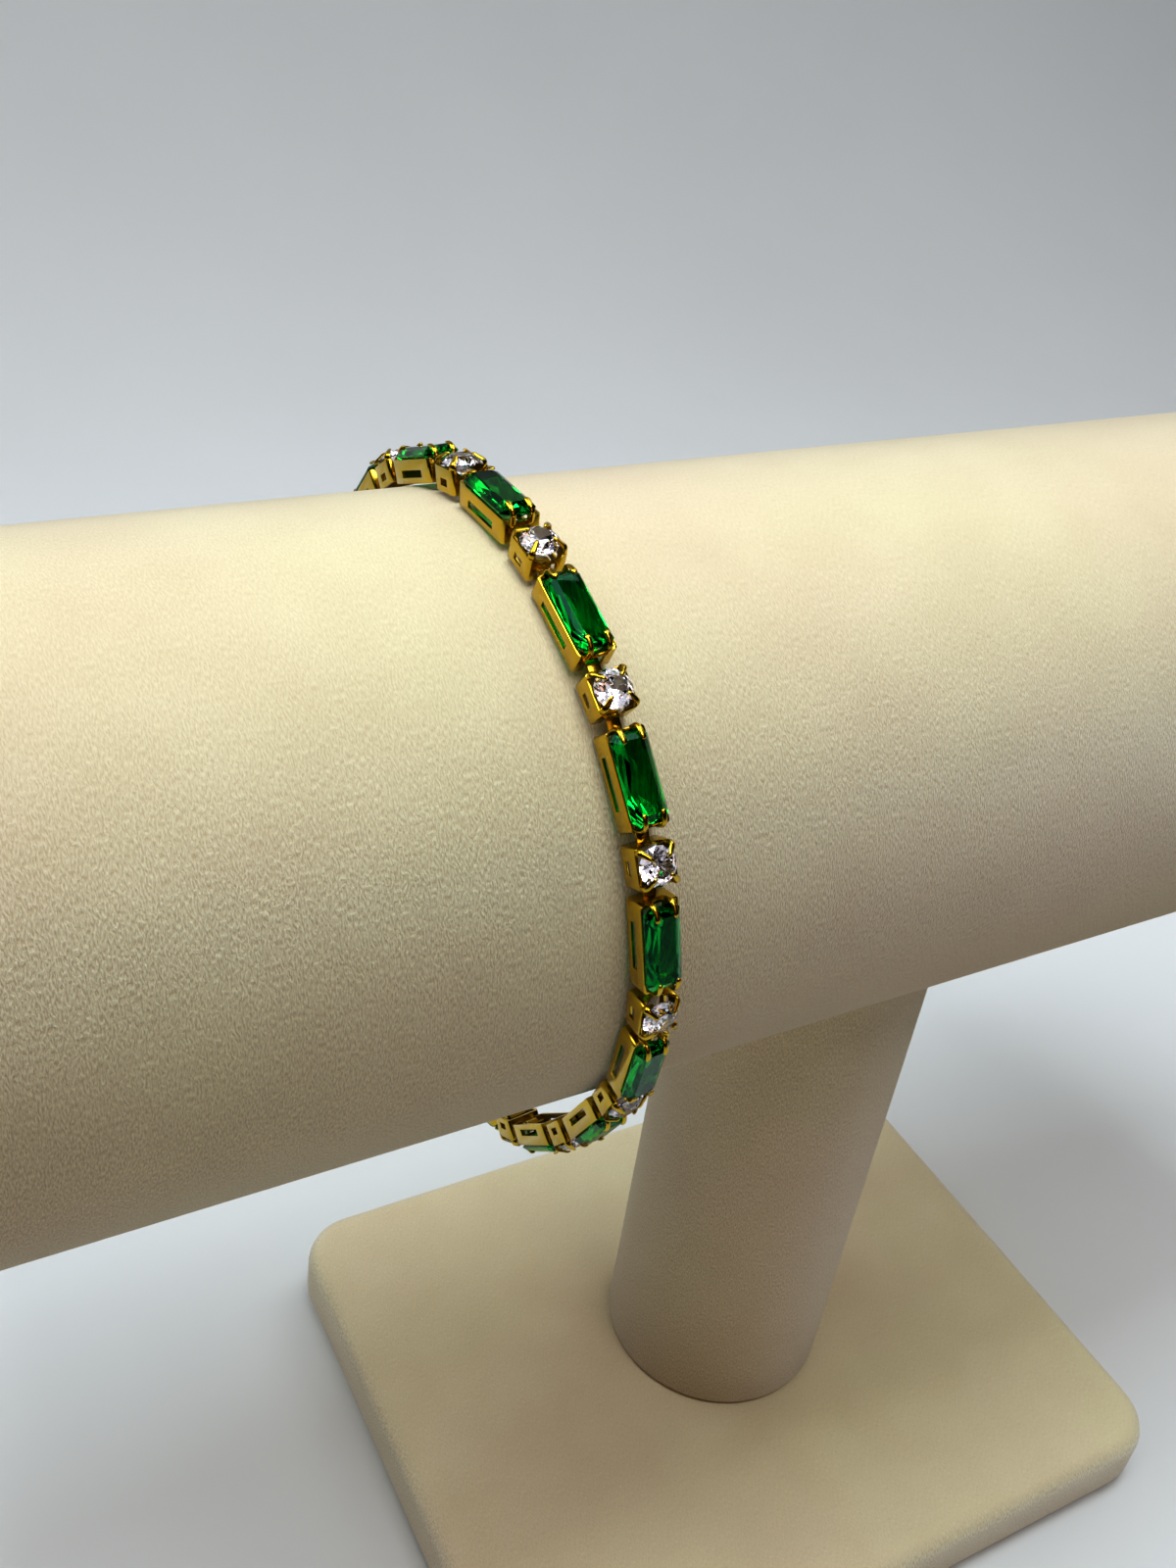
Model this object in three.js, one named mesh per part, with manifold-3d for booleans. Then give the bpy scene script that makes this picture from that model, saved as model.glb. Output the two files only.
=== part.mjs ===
// A tennis bracelet of long green stones and round clear stones, laid over the arm of a plain T-bar stand.
// Millimetres, +Z up. The origin is the middle of the stand's underside, and the arm lies along X.
// The bracelet is a closed loop of rigid settings. Each has an eye at one end, held by a pin in the next.
import * as THREE from "three";
import { ConvexGeometry } from "three/addons/geometries/ConvexGeometry.js";
import { mergeVertices } from "three/addons/utils/BufferGeometryUtils.js";
import Module from "manifold-3d";

const wasm = await Module();
wasm.setup();

// The stand: a round arm on a round post on a flat base, all covered in cream velvet
const ARM_RADIUS = 27.5;
const ARM_LENGTH = 186;
const ARM_HEIGHT = 105; // from the floor to the arm's axis
const ARM_EDGE = 2.5; // rounding at the arm's two ends
const POST_RADIUS = 14.1;
const POST_BACK = 2.3; // the post and the arm stand this far behind the base's middle
const BASE_LENGTH = 94;
const BASE_WIDTH = 75;
const BASE_THICKNESS = 9.2;
const BASE_CORNER = 7; // corner radius seen from above
const BASE_EDGE = 2.4; // soft rounding along the base's edges
const SADDLE_GAP = 0.3; // between the post's hollowed top and the arm

// The settings: open boxes of gold sheet, the same width and height for both kinds of stone
const LINK_WIDTH = 3.3;
const WALL_HEIGHT = 2;
const WALL = 0.25;
const CORNER_CUT = 0.3; // the boxes' upright corners are cut off
const GREEN_LENGTH = 7.4;
const ROUND_LENGTH = 3.3;
const LINK_GAP = 0.9; // open space between neighbouring settings
const STONE_GAP = 0.1; // between a green stone and its prongs

// The openings in the side walls, under the stones
const WINDOW_LOW = 0.5; // height of a window's lower edge
const WINDOW_HEIGHT = 0.6;
const GREEN_WINDOW = 4;
const ROUND_WINDOW = 1.1;
const CREST_DIP = 0.75; // how far the end walls dip between the claws of a round setting

// The hinges: a flat tab with an eye on each setting, round a pin across the next one
const PIN_RADIUS = 0.17;
const PIN_INSET = 0.85; // from a setting's end face to its pin
const PIN_HEIGHT = 0.6; // above the setting's underside
const PIN_CLEARANCE = 0.16;
const EYE_WALL = 0.18;
const TAB_WIDTH = 1.1;
const TAB_THICKNESS = 0.3;
const TAB_CLEARANCE = 0.2; // round the tab and the eye where they enter the next setting

// The long green stone, a rectangle with cut corners
const GREEN_STONE_LENGTH = 6.95;
const GREEN_STONE_WIDTH = 3.1;
const GREEN_CORNER = 0.5;
const GREEN_TABLE_INSET = 0.72; // from the girdle to the table, seen from above
const GREEN_CROWN = 0.62;
const GREEN_PAVILION = 1.15;
const GREEN_KEEL = 2.2; // length of the edge it ends in below

// The round clear stone, brilliant cut
const ROUND_STONE_DIAMETER = 3.15;
const ROUND_TABLE_DIAMETER = 1.76;
const ROUND_CROWN = 0.52;
const ROUND_PAVILION = 1.1;
const GIRDLE = 0.1; // thickness of both stones' edge
const GIRDLE_LIFT = 0.2; // from the top of the walls to the edge's underside

// The prongs over the green stones, and the claws on the corners of the round settings
const PRONG_WIDTH = 0.5;
const PRONG_ROOT = 0.7; // how far a prong runs down the end wall
const PRONG_SPREAD = 1.6; // between the two prongs at one end of a green stone
const CLAW_WIDTH = 0.4;
const CLAW_ROOT = 0.1;
const CLAW_DEPTH = 0.3; // of its foot, from the corner inwards
const PRONG_THICKNESS = 0.3;
const PRONG_REACH = 0.2; // how far a tip passes the table's edge
const PRONG_BULGE = 0.15; // how far a prong stands out from its wall beside the stone's edge

// How the loop lies on the arm
const STRAND_CLEARANCE = 0.3; // between the settings and the velvet
const LOOP_SLACK = 7.5; // how much longer the bracelet is than the way round the arm
const LOOP_PLACE = -43.3; // where the loop's middle plane cuts the arm's axis
const LOOP_TURN = 0.043; // how far the loop runs along the arm for each millimetre forward
const LOOP_LEAN = -0.059; // and for each millimetre up
const FIRST_PIN_ANGLE = THREE.MathUtils.degToRad(55.4); // round the arm, from the front over the top

// How finely round things are divided
const ARM_SIDES = 48;
const POST_SIDES = 32;
const EDGE_STEPS = 2;
const CORNER_STEPS = 4;
const EYE_SIDES = 8;
const PIN_SIDES = 6;
const ROUND_STONE_SIDES = 12;

// Limits for placing the pins round the loop
const HALVINGS = 50;
const LONGEST_STEP = 1.3; // of the way along the curve from pin to pin, over the straight distance
const LEAVE_RANGE = [4, 86].map(THREE.MathUtils.degToRad);

const greenPitch = GREEN_LENGTH + LINK_GAP;
const roundPitch = ROUND_LENGTH + LINK_GAP;
const linkRadius = ARM_RADIUS + STRAND_CLEARANCE + PIN_HEIGHT; // the middle of a long link's pin line
const loopRadius = Math.hypot(linkRadius, greenPitch / 2); // the pins themselves
const repeats = Math.round((2 * Math.PI * loopRadius + LOOP_SLACK) / (greenPitch + roundPitch));
const claspPlace = Math.floor(repeats / 3); // at the back of the arm
const eyeHole = PIN_RADIUS + PIN_CLEARANCE;
const eyeRadius = eyeHole + EYE_WALL;
const girdleLow = WALL_HEIGHT + GIRDLE_LIFT;
const girdleTop = girdleLow + GIRDLE;

const velvet = () => new THREE.MeshStandardMaterial({ color: 0xe6e0cd, roughness: 0.95, metalness: 0 });
const gold = () => new THREE.MeshStandardMaterial({ color: 0xd9a63a, roughness: 0.25, metalness: 1 });
const emerald = () => new THREE.MeshStandardMaterial({ color: 0x0a7a35, roughness: 0.05, metalness: 0 });

// A closed geometry as a solid that can be joined and cut
function solid(geometry) {
  const bare = new THREE.BufferGeometry().setAttribute("position", geometry.getAttribute("position"));
  if (geometry.index) bare.setIndex(geometry.index);
  const merged = mergeVertices(bare, 1e-4);
  return new wasm.Manifold(
    new wasm.Mesh({
      numProp: 3,
      vertProperties: merged.attributes.position.array,
      triVerts: new Uint32Array(merged.index.array),
    }),
  );
}

function named(name, shape, material) {
  const { vertProperties, triVerts } = shape.getMesh();
  const geometry = new THREE.BufferGeometry();
  geometry.setAttribute("position", new THREE.BufferAttribute(vertProperties, 3));
  geometry.setIndex(new THREE.BufferAttribute(triVerts, 1));
  const flat = geometry.toNonIndexed();
  flat.computeVertexNormals();
  const mesh = new THREE.Mesh(flat, material);
  mesh.name = name;
  return mesh;
}

// A box from its middle and its three sizes
function block(x, y, z, length, width, height) {
  return solid(new THREE.BoxGeometry(length, width, height).translate(x, y, z));
}

// A rectangle with cut corners, as points in a plane at one height
function cutRectangle(length, width, cut) {
  const [x, y] = [length / 2, width / 2];
  return [
    [x, y - cut], [x - cut, y], [cut - x, y], [-x, y - cut],
    [-x, cut - y], [cut - x, -y], [x - cut, -y], [x, cut - y],
  ].map(([a, b]) => new THREE.Vector2(a, b));
}

// An upright prism on an outline, between two heights
function prism(outline, low, high) {
  const shape = new THREE.Shape(outline);
  return solid(
    new THREE.ExtrudeGeometry(shape, { depth: high - low, bevelEnabled: false, steps: 1 }).translate(0, 0, low),
  );
}

// A slice whose outline lies in the X-Z plane, centred on y = 0
function slice(outline, width) {
  const shape = new THREE.Shape(outline.map(([x, z]) => new THREE.Vector2(x, z)));
  return solid(
    new THREE.ExtrudeGeometry(shape, { depth: width, bevelEnabled: false, steps: 1 })
      .rotateX(Math.PI / 2)
      .translate(0, width / 2, 0),
  );
}

// A rod across a setting, along Y
function crossRod(x, z, radius, length, sides) {
  return solid(new THREE.CylinderGeometry(radius, radius, length, sides).translate(x, 0, z));
}

function standBase() {
  const [x, y] = [BASE_LENGTH / 2 - BASE_EDGE, BASE_WIDTH / 2 - BASE_EDGE];
  const corner = BASE_CORNER - BASE_EDGE;
  const shape = new THREE.Shape();
  shape.moveTo(x, corner - y);
  shape.absarc(x - corner, y - corner, corner, 0, Math.PI / 2);
  shape.absarc(corner - x, y - corner, corner, Math.PI / 2, Math.PI);
  shape.absarc(corner - x, corner - y, corner, Math.PI, Math.PI * 1.5);
  shape.absarc(x - corner, corner - y, corner, Math.PI * 1.5, Math.PI * 2);
  const plate = new THREE.ExtrudeGeometry(shape, {
    depth: BASE_THICKNESS - 2 * BASE_EDGE,
    bevelSize: BASE_EDGE,
    bevelThickness: BASE_EDGE,
    bevelSegments: EDGE_STEPS,
    curveSegments: CORNER_STEPS,
  }).translate(0, 0, BASE_EDGE);
  return named("stand_base", solid(plate), velvet());
}

// A cylinder along the arm's axis, with its ends rounded by edge
function armCylinder(radius, length, edge) {
  const profile = [new THREE.Vector2(0, -length / 2)];
  for (const end of [-1, 1])
    for (let step = 0; step <= (edge ? EDGE_STEPS : 0); step++) {
      const turn = (Math.PI / 2) * (edge ? step / EDGE_STEPS : 0);
      const [inward, along] = end < 0 ? [Math.sin(turn), Math.cos(turn)] : [Math.cos(turn), Math.sin(turn)];
      profile.push(new THREE.Vector2(radius - edge + edge * inward, end * (length / 2 - edge + edge * along)));
    }
  profile.push(new THREE.Vector2(0, length / 2));
  return solid(
    new THREE.LatheGeometry(profile, ARM_SIDES).rotateZ(-Math.PI / 2).translate(0, POST_BACK, ARM_HEIGHT),
  );
}

function standPost() {
  const height = ARM_HEIGHT - BASE_THICKNESS;
  const post = solid(
    new THREE.CylinderGeometry(POST_RADIUS, POST_RADIUS, height, POST_SIDES)
      .rotateX(Math.PI / 2)
      .translate(0, POST_BACK, BASE_THICKNESS + height / 2),
  );
  return named("stand_post", post.subtract(armCylinder(ARM_RADIUS + SADDLE_GAP, ARM_LENGTH, 0)), velvet());
}

function standArm() {
  return named("stand_arm", armCylinder(ARM_RADIUS, ARM_LENGTH, ARM_EDGE), velvet());
}

// The long stone: rings of eight corners at the table and the girdle, and a keel below
function greenStone() {
  const points = [];
  const ring = (inset, height) => {
    const corner = GREEN_CORNER * (1 - inset / GREEN_STONE_WIDTH);
    for (const p of cutRectangle(GREEN_STONE_LENGTH - 2 * inset, GREEN_STONE_WIDTH - 2 * inset, corner))
      points.push(new THREE.Vector3(p.x, p.y, height));
  };
  ring(GREEN_TABLE_INSET, girdleTop + GREEN_CROWN);
  ring(0, girdleTop);
  ring(0, girdleLow);
  for (const end of [-1, 1])
    points.push(new THREE.Vector3((end * GREEN_KEEL) / 2, 0, girdleLow - GREEN_PAVILION));
  return solid(new ConvexGeometry(points));
}

// The round stone: twelve facets round its table and twelve below, with the claws on four of them
function roundStone() {
  const points = [new THREE.Vector3(0, 0, girdleLow - ROUND_PAVILION)];
  for (let side = 0; side < ROUND_STONE_SIDES; side++) {
    const angle = (side * 2 * Math.PI) / ROUND_STONE_SIDES;
    const place = (r, z) => points.push(new THREE.Vector3(r * Math.cos(angle), r * Math.sin(angle), z));
    place(ROUND_TABLE_DIAMETER / 2, girdleTop + ROUND_CROWN);
    place(ROUND_STONE_DIAMETER / 2, girdleTop);
    place(ROUND_STONE_DIAMETER / 2, girdleLow);
  }
  return solid(new ConvexGeometry(points));
}

// An eye and its tab, on the end of a setting of this length
function eye(length) {
  const centre = length / 2 + LINK_GAP + PIN_INSET;
  const root = length / 2 - WALL / 2;
  const tab = block(
    (root + centre - eyeHole) / 2, 0, PIN_HEIGHT,
    centre - eyeHole - root, TAB_WIDTH, TAB_THICKNESS,
  );
  const ring = crossRod(centre, PIN_HEIGHT, eyeRadius, TAB_WIDTH, EYE_SIDES);
  return tab.add(ring).subtract(crossRod(centre, PIN_HEIGHT, eyeHole, 2 * TAB_WIDTH, EYE_SIDES));
}

// The way in for the next setting's eye: through the end wall at -X, and past the open underside
function eyeEntry(length) {
  const height = PIN_HEIGHT + eyeRadius + TAB_CLEARANCE;
  return block(-length / 2, 0, height / 2 - WALL, 4 * WALL, TAB_WIDTH + 2 * TAB_CLEARANCE, height + 2 * WALL);
}

// An open box with a window in each long side, an eye at +X and a pin near -X
function box(length, windowLength) {
  const outside = prism(cutRectangle(length, LINK_WIDTH, CORNER_CUT), 0, WALL_HEIGHT);
  const inside = block(0, 0, WALL_HEIGHT, length - 2 * WALL, LINK_WIDTH - 2 * WALL, 4 * WALL_HEIGHT);
  const windows = block(0, 0, WINDOW_LOW + WINDOW_HEIGHT / 2, windowLength, 2 * LINK_WIDTH, WINDOW_HEIGHT);
  const pin = crossRod(PIN_INSET - length / 2, PIN_HEIGHT, PIN_RADIUS, LINK_WIDTH - WALL, PIN_SIDES);
  return outside.subtract(inside).subtract(windows).subtract(eyeEntry(length)).add(pin).add(eye(length));
}

// A prong seen from the side: up from its root on a wall, out round the stone's edge, and over the crown
// to a tip above the table. under holds the points of its side towards the stone, from the tip down.
function prong(face, root, tableEdge, top, under, width) {
  const outside = [
    [face, WALL_HEIGHT - root],
    [face + PRONG_BULGE, girdleTop],
    [tableEdge, top + PRONG_THICKNESS],
  ];
  return slice([...outside, ...under, [under.at(-1)[0], WALL_HEIGHT - root]], width);
}

function greenSetting() {
  const stoneEdge = GREEN_STONE_LENGTH / 2 + STONE_GAP;
  const tableEdge = GREEN_STONE_LENGTH / 2 - GREEN_TABLE_INSET;
  const top = girdleTop + GREEN_CROWN + STONE_GAP;
  const under = [
    [tableEdge - PRONG_REACH, top],
    [tableEdge + STONE_GAP / 2, top],
    [stoneEdge, girdleTop],
    [stoneEdge, girdleLow - STONE_GAP],
    [GREEN_LENGTH / 2 - WALL, WALL_HEIGHT],
  ];
  const bent = prong(GREEN_LENGTH / 2, PRONG_ROOT, tableEdge, top, under, PRONG_WIDTH);
  let setting = box(GREEN_LENGTH, GREEN_WINDOW);
  for (const side of [-1, 1])
    for (const turn of [0, 180])
      setting = setting.add(bent.translate([0, (side * PRONG_SPREAD) / 2, 0]).rotate([0, 0, turn]));
  return setting;
}

// The round setting's end walls dip between its claws, which stand on its four corners and are sunk a
// little in the stone, so the whole link is one solid.
function roundLink() {
  const foot = (LINK_WIDTH / 2) * Math.SQRT2 - CORNER_CUT / Math.SQRT2 - STONE_GAP / 4;
  const top = girdleTop + ROUND_CROWN;
  const under = [
    [ROUND_TABLE_DIAMETER / 2 - PRONG_REACH, top - STONE_GAP / 2],
    [ROUND_STONE_DIAMETER / 2 - STONE_GAP, girdleLow],
    [foot - CLAW_DEPTH, girdleLow - STONE_GAP],
  ];
  const claw = prong(foot, CLAW_ROOT, ROUND_TABLE_DIAMETER / 2, top, under, CLAW_WIDTH);
  const half = LINK_WIDTH / 2 - CORNER_CUT;
  const dip = slice(
    [[-half, WALL_HEIGHT + WALL], [0, WALL_HEIGHT - CREST_DIP], [half, WALL_HEIGHT + WALL]],
    2 * ROUND_LENGTH,
  ).rotate([0, 0, 90]);
  let setting = box(ROUND_LENGTH, ROUND_WINDOW).subtract(dip);
  for (const turn of [45, 135, 225, 315]) setting = setting.add(claw.rotate([0, 0, turn]));
  return setting.add(roundStone());
}

// The clasp takes one long place: a plain closed box with the same hinges
function clasp() {
  const lid = prism(cutRectangle(GREEN_LENGTH, LINK_WIDTH, CORNER_CUT), WALL_HEIGHT - WALL, WALL_HEIGHT);
  const cap = prism(
    cutRectangle(GREEN_LENGTH - 2 * CORNER_CUT, LINK_WIDTH - 2 * CORNER_CUT, CORNER_CUT),
    WALL_HEIGHT - WALL, WALL_HEIGHT + WALL,
  );
  return box(GREEN_LENGTH, ROUND_WINDOW).add(lid).add(cap);
}

// A point of the pins' line in the loop's own plane, at a distance s along it from where it meets the arm
// at the front. It follows the arm over the top, leaves it at the angle leave below the level at the back,
// and hangs in a catenary to the front again.
function loopPoint(s, leave) {
  const onArm = loopRadius * (Math.PI + 2 * leave);
  const droop = (loopRadius * Math.cos(leave)) / Math.asinh(1 / Math.tan(leave));
  const hanging = (2 * droop) / Math.tan(leave);
  const along = ((s % (onArm + hanging)) + onArm + hanging) % (onArm + hanging);
  if (along < onArm) {
    const angle = along / loopRadius - leave;
    return { front: loopRadius * Math.cos(angle), up: loopRadius * Math.sin(angle), whole: onArm + hanging };
  }
  const fromLowest = along - onArm - hanging / 2;
  const lowest = -loopRadius * Math.sin(leave) - droop * (1 / Math.sin(leave) - 1);
  return {
    front: droop * Math.asinh(fromLowest / droop),
    up: lowest + Math.hypot(droop, fromLowest) - droop,
    whole: onArm + hanging,
  };
}

// The middle of the range that f turns negative in
function bisect(f, low, high) {
  for (let step = 0; step < HALVINGS; step++) {
    const middle = (low + high) / 2;
    if (f(middle) > 0) low = middle;
    else high = middle;
  }
  return (low + high) / 2;
}

// Steps round the loop from pin to pin, and returns each pin's distance along it
function walk(leave) {
  const pins = [loopRadius * (FIRST_PIN_ANGLE + leave)];
  for (let link = 0; link < 2 * repeats; link++) {
    const start = pins[link];
    const from = loopPoint(start, leave);
    const pitch = link % 2 ? roundPitch : greenPitch;
    const short = (s) => {
      const to = loopPoint(s, leave);
      return pitch - Math.hypot(to.front - from.front, to.up - from.up);
    };
    pins.push(bisect(short, start + pitch, start + pitch * LONGEST_STEP));
  }
  return pins;
}

// The leave angle at which the last pin meets the first
function settledAngle() {
  const spare = (leave) => loopPoint(0, leave).whole - (walk(leave).at(-1) - walk(leave)[0]);
  return bisect(spare, ...LEAVE_RANGE);
}

// A point of the loop's plane in space
function inSpace({ front, up }) {
  return new THREE.Vector3(LOOP_PLACE + LOOP_TURN * front + LOOP_LEAN * up, POST_BACK - front, ARM_HEIGHT + up);
}

// Sets a link's group between its own pin and the next one, its underside towards the loop's middle
function seat(group, pin, next, length) {
  const along = next.clone().sub(pin).normalize();
  const across = inSpace({ front: 1, up: 0 }).sub(inSpace({ front: 0, up: 0 }))
    .cross(inSpace({ front: 0, up: 1 }).sub(inSpace({ front: 0, up: 0 })))
    .normalize();
  const out = along.clone().cross(across).normalize();
  group.quaternion.setFromRotationMatrix(new THREE.Matrix4().makeBasis(along, across, out));
  group.position.copy(pin).addScaledVector(along, length / 2 - PIN_INSET).addScaledVector(out, -PIN_HEIGHT);
  return group;
}

function bracelet() {
  const strand = new THREE.Group();
  const leave = settledAngle();
  const pins = walk(leave).map((s) => inSpace(loopPoint(s, leave)));
  const shapes = { stone: greenStone(), setting: greenSetting(), round: roundLink(), clasp: clasp() };
  for (let place = 0; place < repeats; place++) {
    const number = String(place + 1).padStart(2, "0");
    const long = new THREE.Group();
    if (place === claspPlace) long.add(named("clasp", shapes.clasp, gold()));
    else {
      long.add(named(`green_setting_${number}`, shapes.setting, gold()));
      long.add(named(`green_stone_${number}`, shapes.stone, emerald()));
    }
    strand.add(seat(long, pins[2 * place], pins[2 * place + 1], GREEN_LENGTH));
    const short = new THREE.Group();
    short.add(named(`round_link_${number}`, shapes.round, gold()));
    strand.add(seat(short, pins[2 * place + 1], pins[2 * place + 2], ROUND_LENGTH));
  }
  return strand;
}

const part = new THREE.Group();
part.add(standBase(), standPost(), standArm(), bracelet());

export default part;
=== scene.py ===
"""A tennis bracelet over the arm of a cream velvet T-bar stand, modelled in fine detail on its CAD frame.

The file is laid out as an add-on: one operator for each group of pieces, one for the stage, and a panel
in the 3D view's sidebar that lists them. Run as a script, it builds the whole scene.
"""
import math

import bmesh
import bpy
from bpy.props import FloatProperty, FloatVectorProperty, IntProperty, PointerProperty
from mathutils import Matrix, Vector


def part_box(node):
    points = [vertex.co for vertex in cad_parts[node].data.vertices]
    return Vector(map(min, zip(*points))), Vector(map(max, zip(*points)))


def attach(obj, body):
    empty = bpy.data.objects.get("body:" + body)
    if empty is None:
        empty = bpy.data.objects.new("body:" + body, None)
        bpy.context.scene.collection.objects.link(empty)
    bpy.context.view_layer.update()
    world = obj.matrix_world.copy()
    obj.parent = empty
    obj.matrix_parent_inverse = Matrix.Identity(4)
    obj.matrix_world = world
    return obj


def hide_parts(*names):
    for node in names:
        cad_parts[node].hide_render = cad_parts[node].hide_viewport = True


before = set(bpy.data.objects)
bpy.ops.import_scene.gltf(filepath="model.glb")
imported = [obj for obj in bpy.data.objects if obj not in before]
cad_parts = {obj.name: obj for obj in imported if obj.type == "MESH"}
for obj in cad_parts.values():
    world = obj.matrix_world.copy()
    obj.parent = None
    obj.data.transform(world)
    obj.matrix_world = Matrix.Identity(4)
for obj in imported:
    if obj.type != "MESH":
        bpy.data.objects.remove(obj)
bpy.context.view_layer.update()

bl_info = {
    "name": "Tennis bracelet on a velvet stand",
    "version": (1, 0, 0),
    "blender": (4, 5, 0),
    "location": "3D View > Sidebar > Bracelet",
    "description": "Builds a bracelet of green and clear stones in gold boxes, on a T-bar stand",
    "category": "Add Mesh",
}

BODY = "root"
MM = 0.001  # the settings and stones are modelled in millimetres, and then set in their places in metres

# The stand, in metres. Its outer sizes are read from the frame
BASE_CORNER = 7.0 * MM
BASE_EDGE = 2.4 * MM
ARM_EDGE = 2.5 * MM
POST_EDGE = 0.9 * MM
SADDLE_GAP = 0.3 * MM

# The gold boxes, in millimetres
LINK_WIDTH = 3.3
WALL_HEIGHT = 2.0
WALL = 0.25
CORNER_CUT = 0.3
GREEN_LENGTH = 7.4
ROUND_LENGTH = 3.3
LINK_GAP = 0.9
WINDOW_LOW = 0.5
WINDOW_HEIGHT = 0.6
GREEN_WINDOW = 4.0
ROUND_WINDOW = 1.1
CREST_DIP = 0.75  # how far the round cups' end walls dip between their claws
LONG_DIP = 0.3  # the same between the prongs of a long box
DIP_STEPS = 8

# The hinges
PIN_RADIUS = 0.17
PIN_INSET = 0.85
PIN_HEIGHT = 0.6
EYE_RADIUS = 0.51
EYE_WALL = 0.18
TAB_WIDTH = 1.1
TAB_THICKNESS = 0.3
ENTRY_CLEARANCE = 0.2

# The stones
GREEN_STONE_LENGTH = 6.95
GREEN_STONE_WIDTH = 3.1
GREEN_CORNER = 0.5
# Inset and rise of the crown at each level, from the edge to the table
GREEN_CROWN = ((0.0, 0.0), (0.3, 0.36), (0.72, 0.62))
GREEN_CORNER_SHRINK = 0.6  # how much shorter the cut corners are for each millimetre of inset
GREEN_BELOW = 0.55  # depth of the facets' knees under the edge
GREEN_KNEE = 0.42  # how far the knees lie in from the edge
GREEN_KNEES = 4  # knees along each long side
GREEN_DEPTH = 1.15
GREEN_KEEL = 2.2
GREEN_KEEL_SLANT = 0.35  # how far each end of the keel lies off the middle
STREAK_LENGTH = 3.0
STREAK_WIDTH = 0.35
STREAK_WAVER = 0.3
STREAK_SLANT = math.radians(18)
ROUND_RADIUS = 1.575
ROUND_TABLE = 0.88
ROUND_STAR = 1.22  # where the star facets' points lie
ROUND_CROWN = 0.52
ROUND_DEPTH = 1.1
ROUND_HALF = 0.42  # where the lower facets meet
GIRDLE = 0.1
GIRDLE_LIFT = 0.2  # over the top of the walls
GIRDLE_LOW = WALL_HEIGHT + GIRDLE_LIFT
GIRDLE_TOP = GIRDLE_LOW + GIRDLE

# The loop's place on the arm, in millimetres
ARM_RADIUS = 27.5
ARM_HEIGHT = 105.0
POST_BACK = 2.3
STRAND_CLEARANCE = 0.3
LOOP_SLACK = 7.5
LOOP_PLACE = -43.3
LOOP_TURN = 0.043
LOOP_LEAN = -0.059
FIRST_PIN_ANGLE = math.radians(55.4)
GREEN_PITCH = GREEN_LENGTH + LINK_GAP
ROUND_PITCH = ROUND_LENGTH + LINK_GAP
LOOP_RADIUS = math.hypot(ARM_RADIUS + STRAND_CLEARANCE + PIN_HEIGHT, GREEN_PITCH / 2)
REPEATS = round((2 * math.pi * LOOP_RADIUS + LOOP_SLACK) / (GREEN_PITCH + ROUND_PITCH))
CLASP_PLACE = REPEATS // 3
HALVINGS = 50
LONGEST_STEP = 1.3
LEAVE_RANGE = (math.radians(4), math.radians(86))
PLACE_TOLERANCE = 0.3 * MM  # between a finished piece and the solid that it stands for

# The velvet's pile, in millimetres, along and across the way it lies
PILE_MAP = "pile"
PILE_LENGTH = 0.42
PILE_WIDTH = 0.12
PILE_WAVER = 0.5

# Upward lean of the velvet's surface, from -1 to 1: the painted shade, a deeper and warmer tint where the
# surface stands upright or faces down, fades out over the first range, and the painted shade between the
# fibres fades over the second, with the fibres' bumps, as the light falls straight into the pile
PAINTED_SHADE_FADE = (-0.2, 0.4)
PILE_FADE = (0.45, 0.95)

# The prongs, in millimetres, and the groove in the clasp's lid
PRONG_SPREAD = 0.8  # from the middle of the box's end to each prong
PRONG_SIDES = 10
PRONG_STEPS = 4
GROOVE_PLACE = GREEN_LENGTH / 5
GROOVE_HALF = 0.04
GROOVE_DEPTH = 0.06
GROOVE_NARROWING = 0.97

# The floor, in metres from the stand's middle: its edges, the top of the sheet and the bend's radius
FLOOR_FRONT = -0.6
FLOOR_BACK = 0.55
FLOOR_HALF = 0.8
FLOOR_TOP = 1.2
FLOOR_BEND = 0.25

# The lights: name, place, aim, side of the square, power, colour and spread in degrees
LIGHTS = (
    ("right softbox", (0.6, 0.3, 0.8), (0.4, 0.35, 0), 0.6, 2.0, (1.0, 1.0, 0.98), 140),
    ("left softbox", (-0.5, 0.2, 0.8), (-0.3, 0.2, 0), 0.6, 2.45, (1.0, 1.0, 0.97), 140),
    ("over the front", (0, -0.25, 0.85), (0, 0, 0.1), 0.4, 1.1, (1.0, 0.99, 0.98), 110),
    ("over the arm", (0, 0.03, 0.8), (0, 0.003, 0.1), 0.25, 0.3, (0.85, 0.95, 1.0), 60),
    ("front", (0, -0.6, 0.5), (0, 0, 0.1), 0.3, 0.28, (1.0, 0.5, 0.2), 180),
)
ROOM_LOW = (0.02, 0.014, 0.009, 1)
ROOM_HIGH = (0.5, 0.51, 0.53, 1)
ROOM_SEEN = (0.5, 0.53, 0.56, 1)  # what the camera sees past the floor's edges
ROOM_STRENGTH = 0.05
ROOM_THROUGH_STONES = 2.6

# The camera, where the photograph's was
CAMERA_PLACE = (-0.09546, -0.09671, 0.18246)
CAMERA_YAW = 0.5701
CAMERA_PITCH = 0.5891
CAMERA_ROLL = 0.1426
CAMERA_LENS = 35.0
VIEW_GAMMA = 0.8  # deepens the shadows, as the photograph does


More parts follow.
